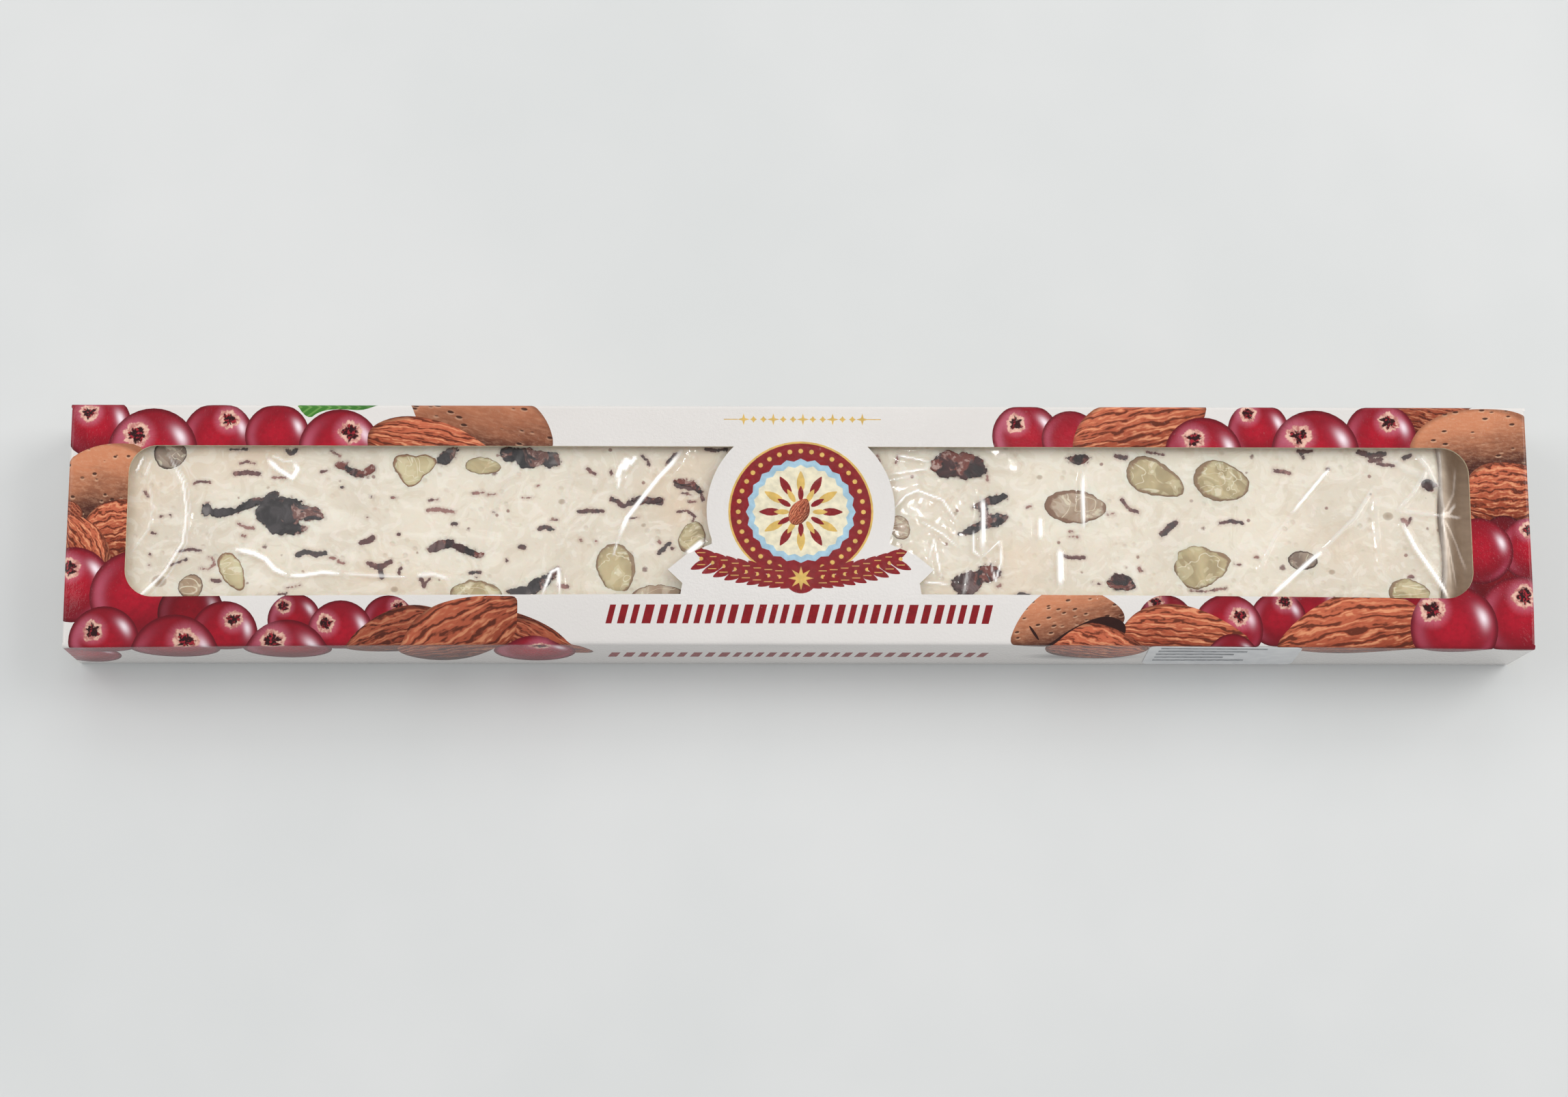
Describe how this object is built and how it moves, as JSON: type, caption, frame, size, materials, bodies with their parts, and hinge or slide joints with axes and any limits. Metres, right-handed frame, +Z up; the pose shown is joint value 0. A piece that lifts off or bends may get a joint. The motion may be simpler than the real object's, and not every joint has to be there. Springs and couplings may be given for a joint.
{
  "type": "boxed nougat bar",
  "caption": "Long soft nougat bar with almonds and dried cranberries, in clear film, in a printed folding carton with a two-light window.",
  "frame": {"origin": "middle of the carton's underside", "axes": "+X along the carton, +Y towards its back long side, +Z up through the window panel"},
  "size_m": [0.25, 0.0425, 0.016],
  "materials": {
    "carton_board": "gloss",
    "nougat": "satin",
    "almond": "satin",
    "cranberry": "gloss",
    "clear_film": "gloss",
    "sticker_paper": "satin"
  },
  "bodies": {
    "root": {"carton": "carton_board", "nougat": "nougat", "almond_01": "almond", "almond_02": "almond", "almond_03": "almond", "almond_04": "almond", "almond_05": "almond", "almond_06": "almond", "almond_07": "almond", "almond_08": "almond", "almond_09": "almond", "almond_10": "almond", "almond_11": "almond", "almond_12": "almond", "almond_13": "almond", "almond_14": "almond", "almond_15": "almond", "almond_16": "almond", "cranberry_01": "cranberry", "cranberry_02": "cranberry", "cranberry_03": "cranberry", "cranberry_04": "cranberry", "cranberry_05": "cranberry", "cranberry_06": "cranberry", "cranberry_07": "cranberry", "cranberry_08": "cranberry", "cranberry_09": "cranberry", "cranberry_10": "cranberry", "cranberry_11": "cranberry", "cranberry_12": "cranberry", "cranberry_13": "cranberry", "cranberry_14": "cranberry", "film_wrap": "clear_film", "sticker": "sticker_paper"}
  },
  "joints": []
}
